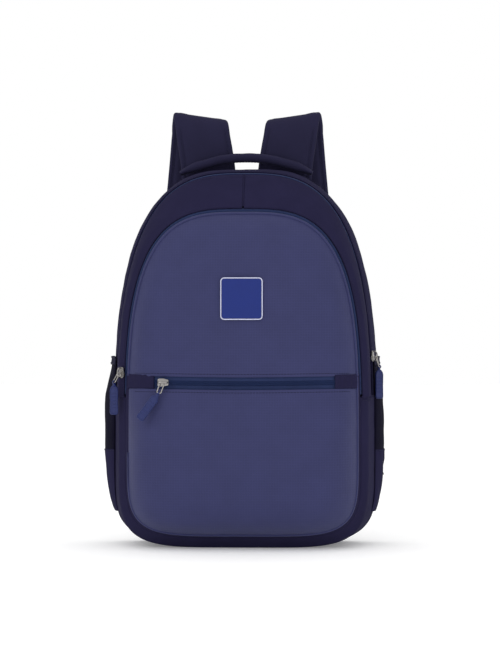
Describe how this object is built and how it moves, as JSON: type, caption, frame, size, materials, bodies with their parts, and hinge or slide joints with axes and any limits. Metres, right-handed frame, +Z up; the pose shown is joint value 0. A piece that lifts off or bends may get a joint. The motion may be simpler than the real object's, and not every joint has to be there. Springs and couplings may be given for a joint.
{
  "type": "school backpack",
  "caption": "School backpack with arched zip compartments, a zipped front pocket, mesh side pockets, padded shoulder straps, a grab handle and a plain badge.",
  "frame": {"origin": "on the floor, under the middle of the base", "axes": "+Z up, -Y out of the bag's front, +X to the right as seen from the front"},
  "size_m": [0.3368, 0.21, 0.521],
  "materials": {
    "light_cloth": "fine ripstop polyester with a satin sheen",
    "dark_cloth": "plain-weave polyester, matt",
    "strap_cloth": "plain-weave polyester over foam, with stitched edges",
    "mesh": "knitted open mesh",
    "lining": "thin lining cloth",
    "zip_tape": "herringbone zip tape with a nylon coil",
    "webbing": "ribbed polyester webbing",
    "blue_tab": "soft moulded tab",
    "badge_face": "moulded patch, matt, blank",
    "badge_edge": "moulded pale rim",
    "zip_metal": "plated die casting",
    "black_plastic": "moulded acetal, fine texture"
  },
  "bodies": {
    "bag": {"back_panel": "dark_cloth", "back_pads": "mesh", "top_yoke": "dark_cloth", "rear_gusset": "dark_cloth", "lower_gusset": "dark_cloth", "base_board": "black_plastic", "main_zip_rear_tape": "zip_tape", "divider_lower": "dark_cloth", "lower_front_panel": "light_cloth", "lower_piping": "light_cloth", "pocket_lining": "lining", "front_zip_tape": "zip_tape", "front_zip_upper_tape": "zip_tape", "front_zip_tab_left": "dark_cloth", "front_zip_tab_right": "dark_cloth", "side_mesh_left": "mesh", "side_mesh_right": "mesh", "side_base_left": "lining", "side_base_right": "lining", "side_hem_left": "mesh", "side_hem_right": "mesh", "sleeve_panel": "dark_cloth", "sleeve_binding": "lining", "handle_anchor_left": "webbing", "handle_anchor_right": "webbing", "strap_root_left": "strap_cloth", "strap_root_right": "strap_cloth", "webbing_left": "webbing", "webbing_right": "webbing", "anchor_wing_left": "dark_cloth", "anchor_wing_right": "dark_cloth"},
    "front_half": {"crescent_left": "dark_cloth", "crescent_right": "dark_cloth", "main_zip_front_tape": "zip_tape", "divider_upper": "dark_cloth", "middle_zip_rear_tape": "zip_tape"},
    "front_flap": {"upper_front_panel": "light_cloth", "middle_zip_front_tape": "zip_tape", "upper_piping": "light_cloth", "badge_plate": "badge_face", "badge_border": "badge_edge"},
    "handle": {"handle": "webbing"},
    "strap_left": {"strap_left": "strap_cloth", "ladder_lock_left": "black_plastic"},
    "strap_right": {"strap_right": "strap_cloth", "ladder_lock_right": "black_plastic"},
    "web_tail_left": {"web_tail_left": "webbing"},
    "web_tail_right": {"web_tail_right": "webbing"},
    "main_slider": {"main_slider": "zip_metal"},
    "main_pull": {"main_pull": "zip_metal"},
    "main_tab": {"main_tab": "blue_tab"},
    "middle_slider": {"middle_slider": "zip_metal"},
    "middle_pull": {"middle_pull": "zip_metal"},
    "middle_tab": {"middle_tab": "blue_tab"},
    "front_slider": {"front_slider": "zip_metal"},
    "front_pull": {"front_pull": "zip_metal"},
    "front_tab": {"front_tab": "blue_tab"}
  },
  "joints": [
    {"name": "main_open", "type": "hinge", "parent": "bag", "child": "front_half", "pos_m": [0, -0.066, 0.206], "axis": [1, 0, 0], "range_deg": [0, 14]},
    {"name": "flap_open", "type": "hinge", "parent": "front_half", "child": "front_flap", "pos_m": [0, -0.066, 0.206], "axis": [1, 0, 0], "range_deg": [0, 55]},
    {"name": "handle_swing", "type": "hinge", "parent": "bag", "child": "handle", "pos_m": [0, 0.084, 0.437], "axis": [1, 0, 0], "range_deg": [-8, 30]},
    {"name": "strap_left_swing", "type": "hinge", "parent": "bag", "child": "strap_left", "pos_m": [0, 0.1325, 0.5], "axis": [1, 0, 0], "range_deg": [0, 20], "deforming": ["webbing_left"]},
    {"name": "strap_right_swing", "type": "hinge", "parent": "bag", "child": "strap_right", "pos_m": [0, 0.1325, 0.5], "axis": [1, 0, 0], "range_deg": [0, 20], "deforming": ["webbing_right"]},
    {"name": "web_tail_left_slide", "type": "slide", "parent": "strap_left", "child": "web_tail_left", "axis": [-0.309, 0, -0.9511], "range_m": [0, 0.02]},
    {"name": "web_tail_right_slide", "type": "slide", "parent": "strap_right", "child": "web_tail_right", "axis": [0.309, 0, -0.9511], "range_m": [0, 0.02]},
    {"name": "main_slider_slide", "type": "slide", "parent": "bag", "child": "main_slider", "axis": [-0.0955, 0, 0.9954], "range_m": [0, 0.07]},
    {"name": "middle_slider_slide", "type": "slide", "parent": "front_half", "child": "middle_slider", "axis": [0.0844, 0, 0.9964], "range_m": [0, 0.07]},
    {"name": "front_slider_slide", "type": "slide", "parent": "bag", "child": "front_slider", "axis": [1, 0, 0], "range_m": [0, 0.18]},
    {"name": "main_pull_swing", "type": "hinge", "parent": "main_slider", "child": "main_pull", "pos_m": [0.15595, 0.02275, 0.225], "axis": [-0.2079, -0.9781, 0], "range_deg": [0, 60]},
    {"name": "main_tab_swing", "type": "hinge", "parent": "main_pull", "child": "main_tab", "pos_m": [0.1603, 0.02183, 0.21278], "axis": [-0.2079, -0.9781, 0], "range_deg": [0, 80]},
    {"name": "middle_pull_swing", "type": "hinge", "parent": "middle_slider", "child": "middle_pull", "pos_m": [-0.14552, -0.02369, 0.206], "axis": [-0.6157, 0.788, 0], "range_deg": [0, 60]},
    {"name": "middle_tab_swing", "type": "hinge", "parent": "middle_pull", "child": "middle_tab", "pos_m": [-0.15095, -0.02794, 0.19498], "axis": [-0.6157, 0.788, 0], "range_deg": [0, 80]},
    {"name": "front_pull_swing", "type": "hinge", "parent": "front_slider", "child": "front_pull", "pos_m": [-0.091, -0.071, 0.1956], "axis": [0, -0.9925, 0.1219], "range_deg": [-4, 50]},
    {"name": "front_tab_lift", "type": "hinge", "parent": "front_pull", "child": "front_tab", "pos_m": [-0.09545, -0.07249, 0.18347], "axis": [-0.9397, 0.0417, 0.3395], "range_deg": [0, 80]}
  ],
  "couplings": [
    {"joint": "main_slider_slide", "follows": "main_open", "m_per_rad": 0.28606},
    {"joint": "middle_slider_slide", "follows": "flap_open", "m_per_rad": 0.07281}
  ]
}
